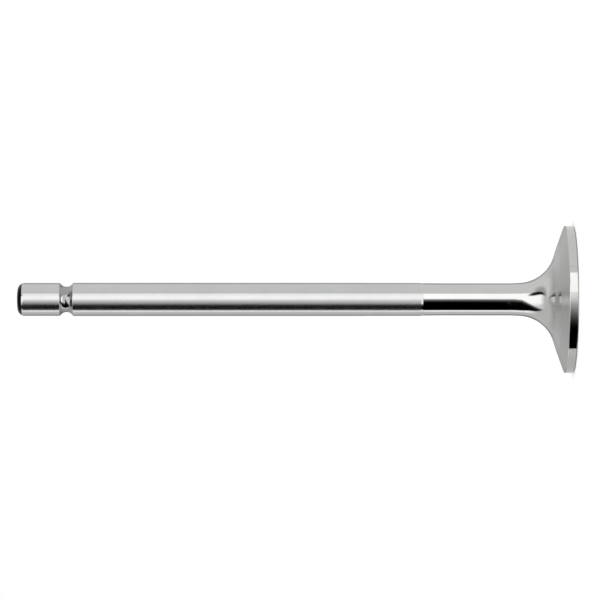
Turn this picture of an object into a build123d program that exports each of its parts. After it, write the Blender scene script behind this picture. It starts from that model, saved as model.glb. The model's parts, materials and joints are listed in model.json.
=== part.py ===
"""Poppet valve of a piston engine, one solid piece of steel.

The valve stands on its flat combustion face. The origin is the centre of that face, and +Z runs up the
stem to the tip. Every surface is turned about the Z axis, so the solid is one outline, drawn from the
combustion face up to the tip and revolved. Sizes are in millimetres and angles in degrees.
"""

import os
from math import acos, atan2, cos, degrees, radians, sin, tan

from build123d import *

# Whole valve
overall_length = 100.0

# Head
head_diameter = 26.5
margin_height = 1.6         # cylindrical rim between the combustion face and the ground band
face_edge_radius = 0.2
margin_edge_radius = 0.1
band_width = 3.5            # ground conical band round the back of the head, measured across the radius
band_angle = 20.0           # from the plane of the head to the band
back_angle = 18.0           # from the plane of the head to the plain back inside the band

# Tulip, where the back of the head sweeps into the neck on two tangent arcs
tulip_radius = 6.75
flare_radius = 33.0
flare_angle = 4.4           # that the long flare arc turns, next to the neck
smallest_back_width = 0.1   # plain back that stays between the ground band and the tulip

# Neck and stem
neck_diameter = 5.77
neck_taper_length = 4.0     # of the slight cone at the stem end of the neck
neck_taper_growth = 0.04    # on the diameter, over that cone
stem_diameter = 5.95
stem_start = 27.45          # height where the neck's run-out meets the ground stem
run_out_radius = 1.2

# Keeper groove and tip
tip_land_diameter = 5.9
groove_from_tip = 8.8       # from the tip face to the middle of the groove
groove_depth = 0.7          # below the stem
groove_radius = 1.25        # of its rounded bottom
flank_angle = 45.0          # from the stem's axis to the side of the groove
groove_edge_radius = 0.15
tip_edge_radius = 1.25

# Radii that follow from the diameters
head_radius = head_diameter / 2
neck_radius = neck_diameter / 2
stem_radius = stem_diameter / 2
tip_land_radius = tip_land_diameter / 2
band_inner_radius = head_radius - band_width


def spread(radius, start_angle, end_angle):
    """How far an arc moves from the axis while its tangent turns between two angles from the axis."""
    return radius * (cos(radians(start_angle)) - cos(radians(end_angle)))


def climb(radius, start_angle, end_angle):
    """How far an arc moves along the axis while its tangent turns between two angles from the axis."""
    return radius * (sin(radians(end_angle)) - sin(radians(start_angle)))


def head_edges():
    """Combustion face, margin, ground band, plain back, tulip and flare, as far as the neck."""
    end_angle = 90 - back_angle
    flare_end_radius = neck_radius + spread(flare_radius, 0, flare_angle)
    room = band_inner_radius - smallest_back_width - flare_end_radius
    radius = min(tulip_radius, room / spread(1, flare_angle, end_angle))
    tulip_foot_radius = flare_end_radius + spread(radius, flare_angle, end_angle)

    face = Line((0, 0), (head_radius, 0))
    margin = Line(face @ 1, (head_radius, margin_height))
    band_height = band_width * tan(radians(band_angle))
    band = Line(margin @ 1, (band_inner_radius, margin_height + band_height))
    back_width = band_inner_radius - tulip_foot_radius
    back_height = back_width * tan(radians(back_angle))
    back = Line(band @ 1, band @ 1 + Vector(-back_width, back_height))
    tulip = JernArc(back @ 1, back % 1, radius, flare_angle - end_angle)
    flare = JernArc(tulip @ 1, tulip % 1, flare_radius, -flare_angle)
    return [face, margin, band, back, tulip, flare]


def neck_edges(foot):
    """Slim neck, its slight taper, and the short arc on which it runs out to the ground stem."""
    taper_end_radius = neck_radius + neck_taper_growth / 2
    taper_angle = degrees(atan2(neck_taper_growth / 2, neck_taper_length))
    rise = (stem_radius - taper_end_radius) / run_out_radius
    run_out_angle = degrees(acos(cos(radians(taper_angle)) - rise))
    taper_end = stem_start - climb(run_out_radius, taper_angle, run_out_angle)
    neck = Line(foot, (neck_radius, taper_end - neck_taper_length))
    taper = Line(neck @ 1, (taper_end_radius, taper_end))
    run_out = JernArc(taper @ 1, taper % 1, run_out_radius, taper_angle - run_out_angle)
    return [neck, taper, run_out]


def groove_edges(foot):
    """Ground stem, and the round-bottomed groove that the two keepers grip, as far as the tip land."""
    middle = overall_length - groove_from_tip
    bottom_radius = stem_radius - groove_depth
    flank_foot_radius = bottom_radius + spread(groove_radius, 0, flank_angle)
    bottom_half_width = climb(groove_radius, 0, flank_angle)
    lower_half_width = bottom_half_width + (stem_radius - flank_foot_radius) / tan(radians(flank_angle))
    upper_half_width = bottom_half_width + (tip_land_radius - flank_foot_radius) / tan(radians(flank_angle))

    stem = Line(foot, (stem_radius, middle - lower_half_width))
    lower_flank = Line(stem @ 1, (flank_foot_radius, middle - bottom_half_width))
    bottom = ThreePointArc(
        lower_flank @ 1, (bottom_radius, middle), (flank_foot_radius, middle + bottom_half_width)
    )
    upper_flank = Line(bottom @ 1, (tip_land_radius, middle + upper_half_width))
    return [stem, lower_flank, bottom, upper_flank]


def tip_edges(foot):
    """Land above the groove and the flat face that the valve gear presses on."""
    land = Line(foot, (tip_land_radius, overall_length))
    tip_face = Line(land @ 1, (0, overall_length))
    return [land, tip_face]


def round_corner(outline, corner, radius):
    """The outline with the corner nearest to a point rounded off."""
    return fillet(outline.vertices().sort_by_distance(corner)[0], radius)


def valve():
    """The whole valve."""
    head = head_edges()
    neck = neck_edges(head[-1] @ 1)
    groove = groove_edges(neck[-1] @ 1)
    tip = tip_edges(groove[-1] @ 1)
    axis = Line(tip[-1] @ 1, head[0] @ 0)
    outline = make_face(head + neck + groove + tip + [axis])

    outline = round_corner(outline, head[0] @ 1, face_edge_radius)
    outline = round_corner(outline, head[1] @ 1, margin_edge_radius)
    outline = round_corner(outline, groove[0] @ 1, groove_edge_radius)
    outline = round_corner(outline, groove[-1] @ 1, groove_edge_radius)
    outline = round_corner(outline, tip[0] @ 1, tip_edge_radius)

    body = revolve(Plane.XZ * outline, Axis.Z)
    body.label = "valve"
    return body


os.makedirs("parts", exist_ok=True)
export_step(valve(), "parts/valve.step")
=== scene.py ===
"""Looks of a poppet engine valve: one turned steel body that is ground, turned and polished by stretches.

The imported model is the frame. It gives the valve's length, the head's and the stem's radii and the places of
the groove and the ground stem. Lengths are in metres. The valve stands on its head, +Z runs up the stem, and
the camera is rolled so that the stem lies level in the picture with its tip at the left.
"""

import json
import logging
import math
from dataclasses import dataclass
from enum import Enum
from typing import Any, Iterable, Optional, Sequence, Union

import bpy
from mathutils import Matrix, Vector


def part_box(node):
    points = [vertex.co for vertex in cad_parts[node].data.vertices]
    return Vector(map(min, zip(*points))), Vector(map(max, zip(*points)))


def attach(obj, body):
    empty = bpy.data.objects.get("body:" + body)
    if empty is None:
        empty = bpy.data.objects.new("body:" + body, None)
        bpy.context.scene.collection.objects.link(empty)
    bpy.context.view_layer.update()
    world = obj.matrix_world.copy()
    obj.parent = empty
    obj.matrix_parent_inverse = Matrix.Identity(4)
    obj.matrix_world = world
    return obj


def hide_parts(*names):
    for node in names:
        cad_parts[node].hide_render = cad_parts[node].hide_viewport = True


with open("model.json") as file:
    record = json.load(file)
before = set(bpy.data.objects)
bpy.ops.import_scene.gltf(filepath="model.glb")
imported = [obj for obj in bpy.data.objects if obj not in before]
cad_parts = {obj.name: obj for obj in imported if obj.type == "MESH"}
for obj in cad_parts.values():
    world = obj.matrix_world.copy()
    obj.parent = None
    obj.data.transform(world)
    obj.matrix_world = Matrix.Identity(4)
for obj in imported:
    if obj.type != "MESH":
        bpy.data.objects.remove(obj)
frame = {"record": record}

LOG = logging.getLogger("engine_valve")
NODE = "valve"
BODY = "root"
MM = 0.001


# ---------------------------------------------------------------------------------------------------------
# Node trees
# ---------------------------------------------------------------------------------------------------------


class Value:
    """A number in a node tree, which Python's operators join up with Math nodes."""

    def __init__(self, graph: "Graph", socket: bpy.types.NodeSocket) -> None:
        """Wraps one output socket of a graph."""
        self.graph = graph
        self.socket = socket

    def _math(self, operation: str, *terms: "Term") -> "Value":
        """The Math node of an operation on the terms, in order."""
        node = self.graph.node(self.graph.MATH_TYPE, {"operation": operation}, dict(enumerate(terms)))
        return Value(self.graph, node.outputs[0])

    def __add__(self, other: "Term") -> "Value":
        """self + other"""
        return self._math("ADD", self, other)

    def __radd__(self, other: "Term") -> "Value":
        """other + self"""
        return self._math("ADD", other, self)

    def __sub__(self, other: "Term") -> "Value":
        """self - other"""
        return self._math("SUBTRACT", self, other)

    def __rsub__(self, other: "Term") -> "Value":
        """other - self"""
        return self._math("SUBTRACT", other, self)

    def __mul__(self, other: "Term") -> "Value":
        """self * other"""
        return self._math("MULTIPLY", self, other)

    def __rmul__(self, other: "Term") -> "Value":
        """other * self"""
        return self._math("MULTIPLY", other, self)

    def __truediv__(self, other: "Term") -> "Value":
        """self / other"""
        return self._math("DIVIDE", self, other)

    def __rtruediv__(self, other: "Term") -> "Value":
        """other / self"""
        return self._math("DIVIDE", other, self)

    def __pow__(self, other: "Term") -> "Value":
        """self ** other"""
        return self._math("POWER", self, other)

    def __rpow__(self, other: "Term") -> "Value":
        """other ** self"""
        return self._math("POWER", other, self)

    def __neg__(self) -> "Value":
        """-self"""
        return self._math("MULTIPLY", self, -1.0)

    def __abs__(self) -> "Value":
        """abs(self)"""
        return self._math("ABSOLUTE", self)

    def above(self, other: "Term") -> "Value":
        """1 where self is the larger, else 0."""
        return self._math("GREATER_THAN", self, other)

    def at_least(self, other: "Term") -> "Value":
        """The larger of the two."""
        return self._math("MAXIMUM", self, other)

    def arcsine(self) -> "Value":
        """The angle, in radians, whose sine self is."""
        return self._math("ARCSINE", self)

    def angle_from(self, other: "Term") -> "Value":
        """The angle, in radians, of self across and other along."""
        return self._math("ARCTAN2", self, other)

    def between(self, first: "Term", second: "Term") -> "Value":
        """first where self is 0, second where it is 1, and self's share of the way elsewhere."""
        return first + (second - first) * self

    def rise(self, start: "Term", end: "Term") -> "Value":
        """A smooth step from 0 where self is start to 1 where it is end.

        Args:
            start: Value of self at the foot of the step.
            end: Value of self at its top, above or below start.

        Returns:
            The step, clamped to 0 and 1.
        """
        share = (self - start) / (end - start)
        settings = {"interpolation_type": "SMOOTHSTEP"}
        node = self.graph.node("ShaderNodeMapRange", settings, {"Value": share})
        return Value(self.graph, node.outputs["Result"])


Term = Union[Value, float, int]


class Graph:
    """A node tree and the one way that nodes are put into it.

    Attributes:
        MATH_TYPE: The type of node that does sums, in shaders and in geometry alike.
        NOISE_ROUGHNESS: How strong each finer layer of noise is beside the one before it.
        NOISE_MEAN: What noise comes to on average.
        COLOUR_A, COLOUR_B, COLOUR_RESULT: Places of a Mix node's colours, whose names its numbers share.
    """

    MATH_TYPE = "ShaderNodeMath"
    NOISE_ROUGHNESS = 0.55
    NOISE_MEAN = 0.5
    COLOUR_A = 6
    COLOUR_B = 7
    COLOUR_RESULT = 2

    def __init__(self, tree: bpy.types.NodeTree) -> None:
        """Takes a tree and empties it."""
        self.tree = tree
        tree.nodes.clear()

    def node(
        self, kind: str, settings: Optional[dict] = None, inputs: Optional[dict] = None
    ) -> bpy.types.Node:
        """Makes a node.

        Args:
            kind: Blender's name for the type of node.
            settings: Properties that are set first, such as a Math node's operation.
            inputs: A number, colour, socket or Value for each input, by name or by index.

        Returns:
            The node.
        """
        node = self.tree.nodes.new(kind)
        for name, setting in (settings or {}).items():
            setattr(node, name, setting)
        for key, given in (inputs or {}).items():
            self.feed(node.inputs[key], given)
        return node

    def feed(self, socket: bpy.types.NodeSocket, given: Any) -> None:
        """Gives an input what it reads.

        Args:
            socket: The input.
            given: A socket or a Value to link to it, or a constant to set it to.
        """
        if isinstance(given, Value):
            given = given.socket
        if isinstance(given, bpy.types.NodeSocket):
            self.tree.links.new(given, socket)
        else:
            socket.default_value = given

    def noise(self, place: bpy.types.NodeSocket, scale: float, detail: float) -> Value:
        """Smooth noise from 0 to 1 at a place."""
        inputs = {"Vector": place, "Scale": scale, "Detail": detail, "Roughness": self.NOISE_ROUGHNESS}
        return Value(self, self.node("ShaderNodeTexNoise", None, inputs).outputs["Fac"])

    def mix(self, share: Value, first: Sequence[float], second: Sequence[float]) -> bpy.types.NodeSocket:
        """A colour between two others.

        Args:
            share: Of the second colour.
            first: Colour where the share is 0.
            second: Colour where the share is 1.

        Returns:
            The mixed colour.
        """
        inputs = {"Factor": share, self.COLOUR_A: first, self.COLOUR_B: second}
        return self.node("ShaderNodeMix", {"data_type": "RGBA"}, inputs).outputs[self.COLOUR_RESULT]

    def axes(self, vector: bpy.types.NodeSocket) -> tuple[Value, Value, Value]:
        """The three numbers of a vector."""
        node = self.node("ShaderNodeSeparateXYZ", None, {"Vector": vector})
        return tuple(Value(self, node.outputs[axis]) for axis in "XYZ")


# ---------------------------------------------------------------------------------------------------------
# Outline of the turned body
# ---------------------------------------------------------------------------------------------------------


@dataclass(frozen=True)
class Corner:
    """A corner of the outline: its distance from the axis, its height, and the radius that rounds it."""

    radius: float
    height: float
    rounding: float = 0.0


@dataclass(frozen=True)
class ValveOutline:
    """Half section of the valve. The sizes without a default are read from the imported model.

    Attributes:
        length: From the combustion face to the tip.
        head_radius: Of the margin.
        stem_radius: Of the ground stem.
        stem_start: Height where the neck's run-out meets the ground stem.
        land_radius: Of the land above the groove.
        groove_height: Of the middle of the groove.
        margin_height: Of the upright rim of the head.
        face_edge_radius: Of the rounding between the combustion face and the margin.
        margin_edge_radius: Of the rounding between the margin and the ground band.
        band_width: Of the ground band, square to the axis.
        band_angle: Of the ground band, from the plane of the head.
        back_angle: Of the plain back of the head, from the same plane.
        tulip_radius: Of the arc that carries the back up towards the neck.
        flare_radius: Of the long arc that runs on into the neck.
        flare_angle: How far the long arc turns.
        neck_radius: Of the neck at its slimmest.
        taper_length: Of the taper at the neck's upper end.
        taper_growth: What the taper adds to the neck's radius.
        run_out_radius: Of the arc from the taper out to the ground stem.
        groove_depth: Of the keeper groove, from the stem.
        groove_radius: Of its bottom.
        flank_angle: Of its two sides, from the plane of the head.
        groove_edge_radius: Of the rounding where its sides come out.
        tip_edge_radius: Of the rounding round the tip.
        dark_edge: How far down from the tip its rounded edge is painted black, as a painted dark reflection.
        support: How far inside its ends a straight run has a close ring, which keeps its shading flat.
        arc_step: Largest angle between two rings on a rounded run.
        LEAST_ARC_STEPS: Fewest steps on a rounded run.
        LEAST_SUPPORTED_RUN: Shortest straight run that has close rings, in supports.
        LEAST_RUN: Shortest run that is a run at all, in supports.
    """

    length: float
    head_radius: float
    stem_radius: float
    stem_start: float
    land_radius: float
    groove_height: float
    margin_height: float = 1.6 * MM
    face_edge_radius: float = 0.2 * MM
    margin_edge_radius: float = 0.1 * MM
    band_width: float = 3.5 * MM
    band_angle: float = math.radians(20)
    back_angle: float = math.radians(18)
    tulip_radius: float = 6.75 * MM
    flare_radius: float = 33 * MM
    flare_angle: float = math.radians(4.4)
    neck_radius: float = 2.885 * MM
    taper_length: float = 4 * MM
    taper_growth: float = 0.02 * MM
    run_out_radius: float = 1.2 * MM
    groove_depth: float = 0.7 * MM
    groove_radius: float = 1.25 * MM
    flank_angle: float = math.radians(45)
    groove_edge_radius: float = 0.15 * MM
    tip_edge_radius: float = 1.25 * MM
    dark_edge: float = 0.8 * MM
    support: float = 0.02 * MM
    arc_step: float = math.radians(2.5)

    LEAST_ARC_STEPS = 3
    LEAST_SUPPORTED_RUN = 4
    LEAST_RUN = 0.01

    @classmethod
    def from_frame(cls, record: dict) -> "ValveOutline":
        """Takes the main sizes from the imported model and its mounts.

        Args:
            record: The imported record.

        Returns:
            The outline of the valve as it is packed.
        """
        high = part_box(NODE)[1]
        mounts = {mount["name"]: mount for mount in record["mounts"]}
        stem = mounts["guide_stem"]
        land = mounts["tip_land"]
        return cls(
            length=high[2],
            head_radius=high[0],
            stem_radius=stem["dims"]["r_mm"] * MM,
            stem_start=stem["pos_m"][2] - stem["dims"]["length_mm"] * MM / 2,
            land_radius=land["dims"]["r_mm"] * MM,
            groove_height=mounts["keeper_groove"]["pos_m"][2],
        )

    @property
    def band_top(self) -> float:
        """Height of the inner edge of the ground band."""
        return self.margin_height + self.band_width * math.tan(self.band_angle)

    @property
    def tulip_reach(self) -> float:
        """Length of the slanted line that both arcs of the tulip touch."""
        turn = math.pi / 2 - self.back_angle - self.flare_angle
        return self.flare_radius * math.tan(self.flare_angle / 2) + self.tulip_radius * math.tan(turn / 2)

    @property
    def tulip_corner(self) -> Corner:
        """Where the slanted line meets the plain back of the head.

        Returns:
            The corner, with the tulip's arc for its rounding.
        """
        radius = self.neck_radius + self.tulip_reach * math.sin(self.flare_angle)
        climb = (self.head_radius - self.band_width - radius) * math.tan(self.back_angle)
        return Corner(radius, self.band_top + climb, self.tulip_radius)

    @property
    def flare_corner(self) -> Corner:
        """Where the slanted line meets the neck."""
        height = self.tulip_corner.height + self.tulip_reach * math.cos(self.flare_angle)
        return Corner(self.neck_radius, height, self.flare_radius)

    @property
    def neck_start(self) -> float:
        """Height where the flare ends and the straight neck begins."""
        return self.flare_corner.height + self.flare_radius * math.tan(self.flare_angle / 2)

    @property
    def groove_apex(self) -> float:
        """Distance from the axis at which the two flanks of the groove would meet."""
        bottom = self.stem_radius - self.groove_depth
        return bottom - self.groove_radius * (1 / math.cos(self.flank_angle) - 1)

    def flank_reach(self, radius: float) -> float:
        """Height from the middle of the groove to where a flank comes out at a radius."""
        return (radius - self.groove_apex) / math.tan(self.flank_angle)

    def corners(self) -> list[Corner]:
        """Works out the corners of the half section.

        Returns:
            The corners, from the middle of the combustion face round to the middle of the tip.
        """
        taper_radius = self.neck_radius + self.taper_growth
        taper_angle = math.atan2(self.taper_growth, self.taper_length)
        growth = (self.stem_radius - taper_radius) / self.run_out_radius
        end_angle = math.acos(math.cos(taper_angle) - growth)
        taper_end = self.stem_start - self.run_out_radius * (math.sin(end_angle) - math.sin(taper_angle))
        touch = self.run_out_radius * math.tan((end_angle - taper_angle) / 2)
        run_out_corner = Corner(
            taper_radius + touch * math.sin(taper_angle),
            taper_end + touch * math.cos(taper_angle),
            self.run_out_radius,
        )
        groove_foot = self.groove_height - self.flank_reach(self.stem_radius)
        groove_top = self.groove_height + self.flank_reach(self.land_radius)
        return [
            Corner(0.0, 0.0),
            Corner(self.head_radius, 0.0, self.face_edge_radius),
            Corner(self.head_radius, self.margin_height, self.margin_edge_radius),
            Corner(self.head_radius - self.band_width, self.band_top),
            self.tulip_corner,
            self.flare_corner,
            Corner(self.neck_radius, taper_end - self.taper_length),
            run_out_corner,
            Corner(self.stem_radius, self.stem_start),
            Corner(self.stem_radius, groove_foot, self.groove_edge_radius),
            Corner(self.groove_apex, self.groove_height, self.groove_radius),
            Corner(self.land_radius, groove_top, self.groove_edge_radius),
            Corner(self.land_radius, self.length, self.tip_edge_radius),
            Corner(0.0, self.length),
        ]

    def rounded(self, before: Corner, corner: Corner, after: Corner) -> list[Vector]:
        """Points of one corner, rounded by a tangent arc where it has a rounding.

        Args:
            before: The corner before it.
            corner: The corner itself.
            after: The corner after it.

        Returns:
            (radius, height) points, from the start of the arc to its end.
        """
        here = Vector((corner.radius, corner.height))
        if not corner.rounding:
            return [here]
        back = (Vector((before.radius, before.height)) - here).normalized()
        ahead = (Vector((after.radius, after.height)) - here).normalized()
        turn = math.pi - back.angle(ahead)
        touch = corner.rounding * math.tan(turn / 2)
        middle = here + (back + ahead).normalized() * corner.rounding / math.cos(turn / 2)
        start = here + back * touch - middle
        end = here + ahead * touch - middle
        steps = max(self.LEAST_ARC_STEPS, math.ceil(turn / self.arc_step))
        points = []
        for step in range(steps + 1):
            share = turn * step / steps
            points.append(middle + (start * math.sin(turn - share) + end * math.sin(share)) / math.sin(turn))
        return points

    def points(self) -> list[Vector]:
        """Joins up the rounded corners.

        Returns:
            Every (radius, height) point of the outline, with a close one just inside each end of a
            straight run.
        """
        corners = self.corners()
        outline = [Vector((corners[0].radius, corners[0].height))]
        for before, corner, after in zip(corners, corners[1:], corners[2:] + corners[-1:]):
            arc = self.rounded(before, corner, after)
            run = arc[0] - outline[-1]
            if run.length > self.LEAST_SUPPORTED_RUN * self.support:
                inset = run.normalized() * self.support
                outline += [outline[-1] + inset, arc[0] - inset]
            if run.length < self.LEAST_RUN * self.support:
                arc = arc[1:]
            outline += arc
        return outline


# ---------------------------------------------------------------------------------------------------------
# Finishes
# ---------------------------------------------------------------------------------------------------------


class Marks(Enum):
    """Which way the rings of a tool's marks are counted: (share of height, share of radius)."""

    ROUND_THE_SIDE = (1.0, 0.0)
    ROUND_THE_BACK = (0.5, 1.0)
    ROUND_THE_END = (0.0, 1.0)


class Tint(Enum):
    """The faint colour of the steel, which its finish changes a little from stretch to stretch."""

    HEAD = (1.0, 1.0, 0.972)
    NECK = (1.0, 1.0, 0.985)
    STEM = (0.995, 1.0, 1.0)
    # Tint of the tip's rounded edge, which is painted near black as a painted dark reflection.
    SCALE = (1.0, 0.98, 1.0)


@dataclass(frozen=True)
class SteelFinish:
    """One finish of the valve's steel.

    Attributes:
        name: Of the material.
        top: Height that the finish reaches up to, from the finish below it.
        tint: Colour of the steel.
        grey: Share of light that the bare steel throws back.
        roughness: Mean roughness across the marks.
        drag: How much the marks smear reflections across their run, from 0 to 1.
        marks: Which way the marks run.
        pitch: Distance between marks.
        depth: Height of the marks.
        unevenness: How much the roughness varies from mark to mark, as a share of it.
        clouding: How much the tone varies over a few millimetres, as a share of it.
        CLOUD_SIZE: Distance over which the tone varies.
        CLOUD_DETAIL: Layers of finer noise in it.
        RUN_LENGTH: Distance over which a mark fades in and out along its run.
        RING_DETAIL: Layers of finer marks between the marks.
        ACROSS_THE_MARKS: Share of a full turn that points the smear across the marks.
    """

    name: str
    top: float
    tint: Tint = Tint.HEAD
    grey: float = 0.56
    roughness: float = 0.1
    drag: float = 0.0
    marks: Marks = Marks.ROUND_THE_SIDE
    pitch: float = 0.1 * MM
    depth: float = 0.0002 * MM
    unevenness: float = 0.2
    clouding: float = 0.06

    CLOUD_SIZE = 5 * MM
    CLOUD_DETAIL = 2.0
    RUN_LENGTH = 12 * MM
    RING_DETAIL = 3.0
    ACROSS_THE_MARKS = 0.25

    def material(self) -> bpy.types.Material:
        """Builds the finish.

        Returns:
            The material, with its marks in object coordinates.
        """
        material = bpy.data.materials.new(self.name)
        material.use_nodes = True
        graph = Graph(material.node_tree)
        place = graph.node("ShaderNodeTexCoord").outputs["Object"]
        rings = self.rings(graph, place)
        cloud = graph.noise(place, 1 / self.CLOUD_SIZE, self.CLOUD_DETAIL)
        bump_inputs = {"Strength": 1.0, "Distance": self.depth, "Height": rings}
        bump = graph.node("ShaderNodeBump", None, bump_inputs)
        inputs = {
            "Base Color": graph.mix(cloud, self.colour(1 - self.clouding), self.colour(1 + self.clouding)),
            "Metallic": 1.0,
            "Roughness": self.roughness * (1 + self.unevenness * (rings - graph.NOISE_MEAN)),
            "Anisotropic": self.drag,
            "Anisotropic Rotation": self.ACROSS_THE_MARKS,
            "Normal": bump.outputs["Normal"],
        }
        steel = graph.node("ShaderNodeBsdfPrincipled", None, inputs)
        graph.node("ShaderNodeOutputMaterial", None, {"Surface": steel.outputs["BSDF"]})
        return material

    def colour(self, share: float) -> tuple[float, float, float, float]:
        """The colour of the steel at a share of its tone."""
        red, green, blue = (self.grey * share * part for part in self.tint.value)
        return red, green, blue, 1.0

    def rings(self, graph: Graph, place: bpy.types.NodeSocket) -> Value:
        """Fine rings round the axis, from 0 to 1, that fade in and out along their run.

        Args:
            graph: Of the material.
            place: Object coordinates.

        Returns:
            The height of the marks.
        """
        across, along, height = graph.axes(place)
        height_share, radius_share = self.marks.value
        radius = (across * across + along * along) ** 0.5
        count = (height * height_share + radius * radius_share) / self.pitch
        inputs = {"X": across / self.RUN_LENGTH, "Y": along / self.RUN_LENGTH, "Z": count}
        vector = graph.node("ShaderNodeCombineXYZ", None, inputs).outputs["Vector"]
        return graph.noise(vector, 1.0, self.RING_DETAIL)


# ---------------------------------------------------------------------------------------------------------
# Valve
# ---------------------------------------------------------------------------------------------------------


@dataclass(frozen=True)
class Valve:
    """The whole valve, one turned solid.

    Attributes:
        outline: Its half section.
        segments: Flats round the axis.
        MERGE_SHARE: Distance within which points become one, in supports.
        BELOW_THE_VALVE: A height under the combustion face.
    """

    outline: ValveOutline
    segments: int = 288

    MERGE_SHARE = 0.05
    BELOW_THE_VALVE = -1.0

    def finishes(self) -> list[SteelFinish]:
        """Names every finish of the valve.

        Returns:
            The finishes from the combustion face up, each with the height that it reaches.
        """
        line = self.outline
        face_depth = line.support / 2
        groove_foot = line.groove_height - line.flank_reach(line.stem_radius)
        groove_top = line.groove_height + line.flank_reach(line.land_radius)
        margin = {"roughness": 0.05, "drag": 0.5, "pitch": 0.05 * MM, "depth": 0.0001 * MM}
        stem = {"tint": Tint.STEM, "roughness": 0.235, "drag": 1.0, "pitch": 0.06 * MM, "unevenness": 0.12}
        # Near-black paint for the tip's rounded edge: a painted dark reflection, not a colour of the steel.
        scale = {"tint": Tint.SCALE, "grey": 0.004, "roughness": 0.3}
        back = {"marks": Marks.ROUND_THE_BACK, "depth": 0.0004 * MM}
        end = {"marks": Marks.ROUND_THE_END, "depth": 0.003 * MM, "unevenness": 0.4}
        return [
            SteelFinish("face_turned", face_depth, roughness=0.3, drag=0.8, pitch=0.25 * MM, **end),
            SteelFinish("face_edge_broken", line.face_edge_radius, grey=0.27, roughness=0.2),
            SteelFinish("margin_ground", line.margin_height, **margin),
            SteelFinish("band_ground", line.band_top, roughness=0.32, drag=0.3, pitch=0.08 * MM, **back),
            SteelFinish("tulip_satin", line.neck_start, Tint.NECK, roughness=0.1, pitch=0.15 * MM, **back),
            SteelFinish("neck_polished", line.stem_start, Tint.NECK, roughness=0.04, depth=0.0001 * MM),
            SteelFinish("stem_ground", groove_foot, **stem),
            # The groove's steel is turned, and is painted darker than the rest as painted shade in the recess.
            SteelFinish("groove_turned", groove_top, Tint.STEM, grey=0.33, roughness=0.12, drag=0.5),
            SteelFinish("land_ground", line.length - line.dark_edge, **stem),
            # The tip's rounded edge is painted near black: a painted reflection of a dark surround.
            SteelFinish("tip_edge_hardened", line.length - face_depth, **scale),
            SteelFinish("tip_face_ground", math.inf, Tint.STEM, roughness=0.3, pitch=0.12 * MM, **end),
        ]

    def section(self) -> bpy.types.Object:
        """Draws the outline as Curve to Mesh reads it: X out from the rail, Y down the axis.

        Returns:
            A curve object of one straight-sided spline.
        """
        curve = bpy.data.curves.new("section", "CURVE")
        curve.dimensions = "3D"
        points = self.outline.points()
        spline = curve.splines.new("POLY")
        spline.points.add(len(points) - 1)
        for place, point in zip(spline.points, points):
            place.co = (point[0] - self.outline.head_radius, -point[1], 0.0, 1.0)
        section = bpy.data.objects.new("section", curve)
        bpy.context.scene.collection.objects.link(section)
        return section

    def lathe(self) -> tuple[bpy.types.NodeTree, dict[str, Any]]:
        """The node tree that turns a section about the Z axis and finishes it by height.

        Returns:
            The tree, and the value of each of its named inputs by socket identifier.
        """
        tree = bpy.data.node_groups.new("lathe", "GeometryNodeTree")
        graph = Graph(tree)
        tree.interface.new_socket("Geometry", in_out="OUTPUT", socket_type="NodeSocketGeometry")
        tree.interface.new_socket("Section", in_out="INPUT", socket_type="NodeSocketGeometry")
        given: dict[str, Any] = {}
        sizes = [("Segments", "NodeSocketInt", self.segments)]
        sizes += [("Rail radius", "NodeSocketFloat", self.outline.head_radius)]
        sizes += [("Merge distance", "NodeSocketFloat", self.MERGE_SHARE * self.outline.support)]
        finishes = self.finishes()
        sizes += [(f"Top of {finish.name}", "NodeSocketFloat", finish.top) for finish in finishes[:-1]]
        for name, kind, size in sizes:
            socket = tree.interface.new_socket(name, in_out="INPUT", socket_type=kind)
            given[socket.identifier] = size

        group = graph.node("NodeGroupInput").outputs
        rail_inputs = {"Resolution": group["Segments"], "Radius": group["Rail radius"]}
        rail = graph.node("GeometryNodeCurvePrimitiveCircle", {"mode": "RADIUS"}, rail_inputs)
        sweep_inputs = {"Curve": rail.outputs["Curve"], "Profile Curve": group["Section"]}
        sweep = graph.node("GeometryNodeCurveToMesh", None, sweep_inputs)
        flip = graph.node("GeometryNodeFlipFaces", None, {"Mesh": sweep.outputs["Mesh"]})
        merge_inputs = {"Geometry": flip.outputs["Mesh"], "Distance": group["Merge distance"]}
        merge = graph.node("GeometryNodeMergeByDistance", None, merge_inputs)
        smooth = graph.node("GeometryNodeSetShadeSmooth", None, {"Geometry": merge.outputs["Geometry"]})
        shape = graph.node("GeometryNodeRealizeInstances", None, {"Geometry": smooth.outputs["Geometry"]})
        height = graph.axes(graph.node("GeometryNodeInputPosition").outputs["Position"])[2]
        floors: list[Union[float, bpy.types.NodeSocket]] = [self.BELOW_THE_VALVE]
        floors += [group[f"Top of {finish.name}"] for finish in finishes[:-1]]
        for finish, floor in zip(finishes, floors):
            inputs = {
                "Geometry": shape.outputs["Geometry"],
                "Selection": height.above(floor),
                "Material": finish.material(),
            }
            shape = graph.node("GeometryNodeSetMaterial", None, inputs)
        graph.node("NodeGroupOutput", None, {"Geometry": shape.outputs["Geometry"]})
        return tree, given

    def build(self) -> bpy.types.Object:
        """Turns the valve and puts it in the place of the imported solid.

        Returns:
            The valve's object.
        """
        section = self.section()
        tree, given = self.lathe()
        modifier = section.modifiers.new("lathe", "NODES")
        modifier.node_group = tree
        for identifier, size in given.items():
            modifier[identifier] = size
        graph = bpy.context.evaluated_depsgraph_get()
        mesh = bpy.data.meshes.new_from_object(section.evaluated_get(graph), depsgraph=graph)
        section.modifiers.remove(modifier)
        bpy.data.objects.remove(section)
        body = bpy.data.objects.new("valve_body", mesh)
        bpy.context.scene.collection.objects.link(body)
        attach(body, BODY)
        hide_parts(NODE)
        return body


# ---------------------------------------------------------------------------------------------------------
# Studio
# ---------------------------------------------------------------------------------------------------------


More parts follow.
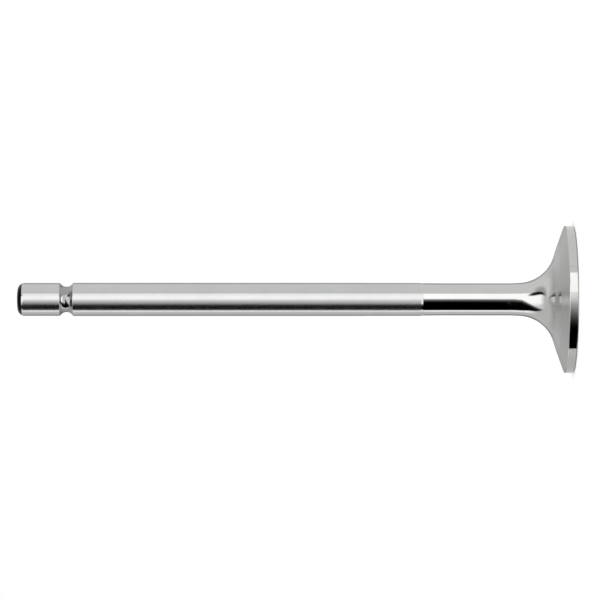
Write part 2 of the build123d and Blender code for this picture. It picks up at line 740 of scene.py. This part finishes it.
@dataclass(frozen=True)
class Fade:
    """A smooth step from one angle to another, in degrees, or along another measure."""

    start: float
    end: float

    def of(self, measure: Value, edge: Term = 0.0) -> Value:
        """0 at the start and before it, 1 at the end and past it, both counted from an edge."""
        return measure.rise(edge + self.start, edge + self.end)


@dataclass(frozen=True)
class Gaze:
    """A direction in which the steel sees the studio, in degrees.

    Attributes:
        turn: About the valve's axis, from the camera's side towards the top of the picture.
        lift: From level towards the tip.
        above: The lift, and 0 below level.
        below: The drop towards the head, and 0 above level.
        low: 1 where the skirt begins and below it, else 0.
    """

    turn: Value
    lift: Value
    above: Value
    below: Value
    low: Value


@dataclass(frozen=True)
class Key:
    """The long bright key in front of the valve.

    Attributes:
        level: Its brightness.
        low_level: The same from the skirt down.
        top: Turn at which it ends.
        top_edge: How it comes in there, from its top.
        side_loss: Share of it that is lost round the side.
        side: Turn over which that goes.
        overhead: Brightness over the tip.
        over: Lift over which that takes its place.
        underfoot: Brightness past the head.
        under: Drop over which that takes its place.
    """

    level: float = 1.72
    low_level: float = 1.45
    top: float = 42.5
    top_edge: Fade = Fade(-0.4, -2.4)
    side_loss: float = 0.45
    side: Fade = Fade(-20, -60)
    overhead: float = 0.8
    over: Fade = Fade(60, 82)
    underfoot: float = 3.0
    under: Fade = Fade(48, 58)

    def brightness(self, gaze: Gaze) -> Value:
        """Works out the light of the key, wherever it is.

        Args:
            gaze: Direction that is seen.

        Returns:
            The brightness.
        """
        front = gaze.low.between(self.level, self.low_level)
        front = front * (1 - self.side_loss * self.side.of(gaze.turn))
        front = self.over.of(gaze.above).between(front, self.overhead)
        return self.under.of(gaze.below).between(front, self.underfoot)

    def reach(self, gaze: Gaze) -> Value:
        """1 below the key's top, else 0."""
        return self.top_edge.of(gaze.turn, self.top)


@dataclass(frozen=True)
class Flag:
    """The black flag below the key.

    Attributes:
        top: Turn at which it begins, level with the camera.
        slant: How much lower it begins for each degree above level.
        bend: The same for each square degree.
        first_dip: How much lower it begins just below level.
        first: Drop over which that comes.
        second_dip: How much lower again it begins further down.
        second: Drop over which that comes.
        edge: How the key comes in over its top, from there.
        tail: The same for the part of the key that spills further.
        spill: Share of the key in that part.
        level_end: Turn at which it ends, level with the camera.
        far_end: The same, away from level.
        away: Lift or drop over which the end changes.
        end_edge: How the lower wall comes in past its end, from there.
    """

    top: float = 4.0
    slant: float = 0.95
    bend: float = 0.0067
    first_dip: float = 14.0
    first: Fade = Fade(3, 6)
    second_dip: float = 24.0
    second: Fade = Fade(5, 9)
    edge: Fade = Fade(-9, 4.5)
    tail: Fade = Fade(-26, 0)
    spill: float = 0.15
    level_end: float = -84.5
    far_end: float = -82.0
    away: Fade = Fade(8, 16)
    end_edge: Fade = Fade(0.5, -0.5)

    def light(self, gaze: Gaze) -> Value:
        """Works out how much of the key comes over the flag's top.

        Args:
            gaze: Direction that is seen.

        Returns:
            The share of the key, from 0 to 1.
        """
        top = self.top - self.slant * gaze.above - self.bend * gaze.above * gaze.above
        top = top - self.first_dip * self.first.of(gaze.below) - self.second_dip * self.second.of(gaze.below)
        return (1 - self.spill) * self.edge.of(gaze.turn, top) + self.spill * self.tail.of(gaze.turn, top)

    def passed(self, gaze: Gaze) -> Value:
        """1 past the flag's end, else 0."""
        end = self.away.of(abs(gaze.lift)).between(self.level_end, self.far_end)
        return self.end_edge.of(gaze.turn, end)


@dataclass(frozen=True)
class Walls:
    """The white walls above the key, below the flag and behind the valve.

    Attributes:
        upper: Brightness above the key.
        upper_back: The same behind the valve and level with it.
        upper_high_back: The same behind the valve and away from level.
        upper_round: Turn over which the upper wall goes round behind the valve.
        lower_near: Brightness next to the flag.
        lower_far: The same further round.
        lower_lift: Lift over which the one becomes the other.
        lower_turn: Turn over which it does so too.
        lower_back: Brightness behind the valve and level with it, on the lower side.
        lower_high_back: The same away from level.
        lower_round: Turn over which the lower wall goes round behind the valve.
        level: Lift over which the back comes down to level.
        high_loss: How much dimmer the back is high up.
        high: Lift over which it gets dimmer.
    """

    upper: float = 0.95
    upper_back: float = 0.35
    upper_high_back: float = 0.67
    upper_round: Fade = Fade(125, 172)
    lower_near: float = 1.55
    lower_far: float = 0.77
    lower_lift: Fade = Fade(15, 40)
    lower_turn: Fade = Fade(-88, -110)
    lower_back: float = 0.25
    lower_high_back: float = 0.62
    lower_round: Fade = Fade(-135, -170)
    level: Fade = Fade(10, 2)
    high_loss: float = 0.12
    high: Fade = Fade(22, 48)

    def back(self, gaze: Gaze, away: float, level: float) -> Value:
        """Works out the light behind the valve.

        Args:
            gaze: Direction that is seen.
            away: Brightness away from level.
            level: Brightness level with the valve.

        Returns:
            The brightness.
        """
        share = self.level.of(gaze.lift) * (1 - gaze.low)
        return share.between(away, level) - self.high_loss * self.high.of(gaze.above)

    def above_key(self, gaze: Gaze) -> Value:
        """Brightness of the upper wall."""
        back = self.back(gaze, self.upper_high_back, self.upper_back)
        return self.upper_round.of(gaze.turn).between(self.upper, back)

    def below_flag(self, gaze: Gaze) -> Value:
        """Works out the light of the lower wall.

        Args:
            gaze: Direction that is seen.

        Returns:
            The brightness.
        """
        near = self.lower_lift.of(gaze.above).between(self.lower_near, self.lower_far)
        wall = self.lower_turn.of(gaze.turn).between(near, self.lower_far)
        back = self.back(gaze, self.lower_high_back, self.lower_back)
        return self.lower_round.of(gaze.turn).between(wall, back)


@dataclass(frozen=True)
class Skirt:
    """The belt of the studio just below level, which only the head's rim sees.

    Attributes:
        top: Drop over which it begins.
        bottom: Drop over which it ends, from the bottom up.
        upper: Brightness above the key.
        seam_loss: Share of that which a narrow seam takes.
        seam_start: Turn over which the seam begins.
        seam_end: Turn over which it ends, from its end back.
        key_top: Turn over which the key ends.
        key: Brightness of the key.
        front: Brightness below the key.
        front_top: Turn over which the front becomes the key.
        dusk: Turn over which both come up from black.
        dusk_power: How late they come up.
        lower_top: Turn over which the lower wall begins.
        lower: Brightness of the lower wall.
    """

    top: Fade = Fade(3.85, 4.35)
    bottom: Fade = Fade(11, 8)
    upper: float = 0.9
    seam_loss: float = 0.15
    seam_start: Fade = Fade(50.5, 52)
    seam_end: Fade = Fade(54.5, 53)
    key_top: Fade = Fade(42, 43)
    key: float = 1.62
    front: float = 1.2
    front_top: Fade = Fade(10.5, 12.5)
    dusk: Fade = Fade(-53, 15)
    dusk_power: float = 2.0
    lower_top: Fade = Fade(-82.5, -83.5)
    lower: float = 0.7

    def brightness(self, turn: Value) -> Value:
        """Works out the light of the skirt.

        Args:
            turn: About the valve's axis.

        Returns:
            The brightness.
        """
        front = self.front_top.of(turn).between(self.front, self.key)
        front = front * self.dusk.of(turn) ** self.dusk_power
        seam = 1 - self.seam_loss * self.seam_start.of(turn) * self.seam_end.of(turn)
        upper = self.key_top.of(turn).between(front, self.upper * seam)
        return self.lower_top.of(turn).between(upper, self.lower)


@dataclass(frozen=True)
class Leaf:
    """A leaf-shaped shade that hangs over the valve.

    Attributes:
        turn: Of its middle, about the valve's axis.
        lift: Of its middle, towards the tip.
        lean: Angle of its length from level, in degrees.
        length: From its middle to its end.
        width: From its middle to its side.
        edge: Squared distance from its middle over which it comes in, 1 at its outline.
        loss: Share of the light that it takes.
    """

    turn: float
    lift: float
    lean: float
    length: float
    width: float
    edge: Fade
    loss: float

    def light(self, gaze: Gaze) -> Value:
        """Works out how much light comes past the leaf.

        Args:
            gaze: Direction that is seen.

        Returns:
            The share of the light, from 0 to 1.
        """
        over = gaze.turn - self.turn
        up = gaze.lift - self.lift
        cosine = math.cos(math.radians(self.lean))
        sine = math.sin(math.radians(self.lean))
        far = (over * cosine + up * sine) / self.length
        aside = (up * cosine - over * sine) / self.width
        return 1 - self.loss * self.edge.of(far * far + aside * aside)


@dataclass(frozen=True)
class DimCorners:
    """The two dim corners behind the valve, one on each side of its middle.

    Attributes:
        near: Turn, either way, over which a corner begins.
        far: Turn over which it ends, from its end back.
        height: Lift over which it ends, from its end back.
        lower_loss: Share of the light that the lower corner takes.
        upper_loss: The same for the upper corner.
        side: Turn over which the one becomes the other.
    """

    near: Fade = Fade(125, 145)
    far: Fade = Fade(176, 171)
    height: Fade = Fade(22, 10)
    lower_loss: float = 0.5
    upper_loss: float = 0.35
    side: Fade = Fade(-90, 90)

    def light(self, gaze: Gaze) -> Value:
        """Works out how much light comes out of the corners.

        Args:
            gaze: Direction that is seen.

        Returns:
            The share of the light, from 0 to 1.
        """
        away = abs(gaze.turn)
        corner = self.near.of(away) * self.far.of(away) * self.height.of(gaze.lift)
        return 1 - self.side.of(gaze.turn).between(self.lower_loss, self.upper_loss) * corner


@dataclass(frozen=True)
class Surround:
    """The white studio round the valve, as the steel sees it.

    Attributes:
        key: The bright key.
        flag: The black flag below it.
        walls: The white walls.
        skirt: The belt that the head's rim sees.
        leaf: The dark leaf over the tulip.
        veil: The wide faint leaf beside it.
        corners: The dim corners behind the valve.
        WHITE: Colour of all its light.
    """

    key: Key = Key()
    flag: Flag = Flag()
    walls: Walls = Walls()
    skirt: Skirt = Skirt()
    leaf: Leaf = Leaf(turn=43, lift=51, lean=55, length=30, width=11, edge=Fade(1.6, 0.4), loss=1.0)
    veil: Leaf = Leaf(turn=68, lift=63, lean=0, length=36, width=30, edge=Fade(1.1, 0.0), loss=0.45)
    corners: DimCorners = DimCorners()

    WHITE = (1.0, 1.0, 1.0, 1.0)

    def build(self) -> None:
        """Builds the world: white to the camera and to the floor, and the studio to the steel."""
        world = bpy.data.worlds.new("studio")
        bpy.context.scene.world = world
        world.use_nodes = True
        graph = Graph(world.node_tree)
        towards = graph.node("ShaderNodeTexCoord").outputs["Generated"]
        across, along, up = graph.axes(towards)
        turn = across.angle_from(-along) * math.degrees(1)
        lift = up.arcsine() * math.degrees(1)
        ray = graph.node("ShaderNodeLightPath").outputs
        seen = Value(graph, ray["Is Camera Ray"]).at_least(Value(graph, ray["Is Diffuse Ray"]))
        strength = seen.between(self.glow(turn, lift), 1.0)
        light = graph.node("ShaderNodeBackground", None, {"Color": self.WHITE, "Strength": strength})
        graph.node("ShaderNodeOutputWorld", None, {"Surface": light.outputs["Background"]})

    def glow(self, turn: Value, lift: Value) -> Value:
        """Works out the light of the studio in a direction.

        Args:
            turn: About the valve's axis.
            lift: Towards the tip.

        Returns:
            The brightness.
        """
        below = (-lift).at_least(0.0)
        low = self.skirt.top.of(below)
        room = self.room(Gaze(turn, lift, lift.at_least(0.0), below, low))
        return (low * self.skirt.bottom.of(below)).between(room, self.skirt.brightness(turn))

    def room(self, gaze: Gaze) -> Value:
        """Works out the light of the studio but for its skirt.

        Args:
            gaze: Direction that is seen.

        Returns:
            The brightness.
        """
        in_front = self.key.reach(gaze)
        under = self.flag.passed(gaze)
        upper = self.walls.above_key(gaze) * (1 - in_front)
        front = self.key.brightness(gaze) * self.flag.light(gaze) * in_front * (1 - under)
        lower = self.walls.below_flag(gaze) * under
        shade = self.leaf.light(gaze) * self.veil.light(gaze) * self.corners.light(gaze)
        return (upper + front + lower) * shade


@dataclass(frozen=True)
class Floor:
    """The plain pale floor that the valve stands on.

    Attributes:
        half_width: From the valve to its side.
        paint: Share of light that it throws back.
        glow: Light that the camera sees in it besides.
    """

    half_width: float = 2.0
    paint: float = 0.8
    glow: float = 0.26

    def build(self) -> bpy.types.Object:
        """Lays the floor.

        Returns:
            The floor's object.
        """
        mesh = bpy.data.meshes.new("floor")
        reach = self.half_width
        corners = [(-reach, -reach, 0), (reach, -reach, 0), (reach, reach, 0), (-reach, reach, 0)]
        mesh.from_pydata(corners, [], [(0, 1, 2, 3)])
        mesh.materials.append(self.material())
        floor = bpy.data.objects.new("floor", mesh)
        bpy.context.scene.collection.objects.link(floor)
        return floor

    def material(self) -> bpy.types.Material:
        """Builds a pale paint that is clear to reflections, which see the studio through it, and from below.

        Returns:
            The material.
        """
        material = bpy.data.materials.new("floor_pale")
        material.use_nodes = True
        graph = Graph(material.node_tree)
        ray = graph.node("ShaderNodeLightPath").outputs
        behind = Value(graph, graph.node("ShaderNodeNewGeometry").outputs["Backfacing"])
        glossy, shadow = Value(graph, ray["Is Glossy Ray"]), Value(graph, ray["Is Shadow Ray"])
        clear = glossy.at_least(shadow).at_least(behind)
        colour = (self.paint, self.paint, self.paint, 1.0)
        paint = graph.node("ShaderNodeBsdfDiffuse", None, {"Color": colour}).outputs["BSDF"]
        strength = self.glow * Value(graph, ray["Is Camera Ray"])
        glow = graph.node("ShaderNodeEmission", None, {"Strength": strength}).outputs["Emission"]
        both = graph.node("ShaderNodeAddShader", None, {0: paint, 1: glow}).outputs["Shader"]
        see_through = graph.node("ShaderNodeBsdfTransparent").outputs["BSDF"]
        mixed = graph.node("ShaderNodeMixShader", None, {0: clear, 1: both, 2: see_through})
        graph.node("ShaderNodeOutputMaterial", None, {"Surface": mixed.outputs["Shader"]})
        return material


@dataclass(frozen=True)
class Camera:
    """A long lens level with the middle of the stem, rolled so that the tip is at the left of the picture.

    Attributes:
        focal_pixels: Distance to the axis over the size of one picture pixel there.
        pixel: Size of one pixel at the valve's axis.
        face_pixels: From the middle of the picture to the combustion face.
        axis_pixels: From the middle of the picture up to the valve's axis.
        picture_pixels: Width of the picture.
        sensor_width: Of the camera, in millimetres.
        nearest: Where the camera begins to see.
        farthest: Where it ends.
    """

    focal_pixels: float = 3464.0
    pixel: float = 0.18 * MM
    face_pixels: float = 273.3
    axis_pixels: float = 0.6
    picture_pixels: int = 600
    sensor_width: float = 36.0
    nearest: float = 0.01
    farthest: float = 100.0

    def build(self) -> bpy.types.Object:
        """Sets up the camera and makes it the scene's.

        Returns:
            The camera's object.
        """
        data = bpy.data.cameras.new("camera")
        data.sensor_width = self.sensor_width
        data.lens = self.focal_pixels * self.sensor_width / self.picture_pixels
        data.clip_start = self.nearest
        data.clip_end = self.farthest
        camera = bpy.data.objects.new("camera", data)
        bpy.context.scene.collection.objects.link(camera)
        right, up, back = Vector((0, 0, -1)), Vector((1, 0, 0)), Vector((0, -1, 0))
        turned = Matrix((right, up, back)).transposed().to_4x4()
        place = Vector((-self.axis_pixels, -self.focal_pixels, self.face_pixels)) * self.pixel
        camera.matrix_world = Matrix.Translation(place) @ turned
        bpy.context.scene.camera = camera
        return camera


def main() -> None:
    """Builds the valve and the studio, and keeps the sizes of both models."""
    logging.basicConfig(level=logging.INFO, format="%(name)s: %(message)s")
    bpy.context.scene.view_settings.view_transform = "Standard"
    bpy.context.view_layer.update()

    body = Valve(ValveOutline.from_frame(frame["record"])).build()
    LOG.info("%s: %d faces, %d finishes", body.name, len(body.data.polygons), len(body.data.materials))
    Floor().build()
    Surround().build()
    Camera().build()
    LOG.info("studio and camera are set")


if __name__ == "__main__":
    main()
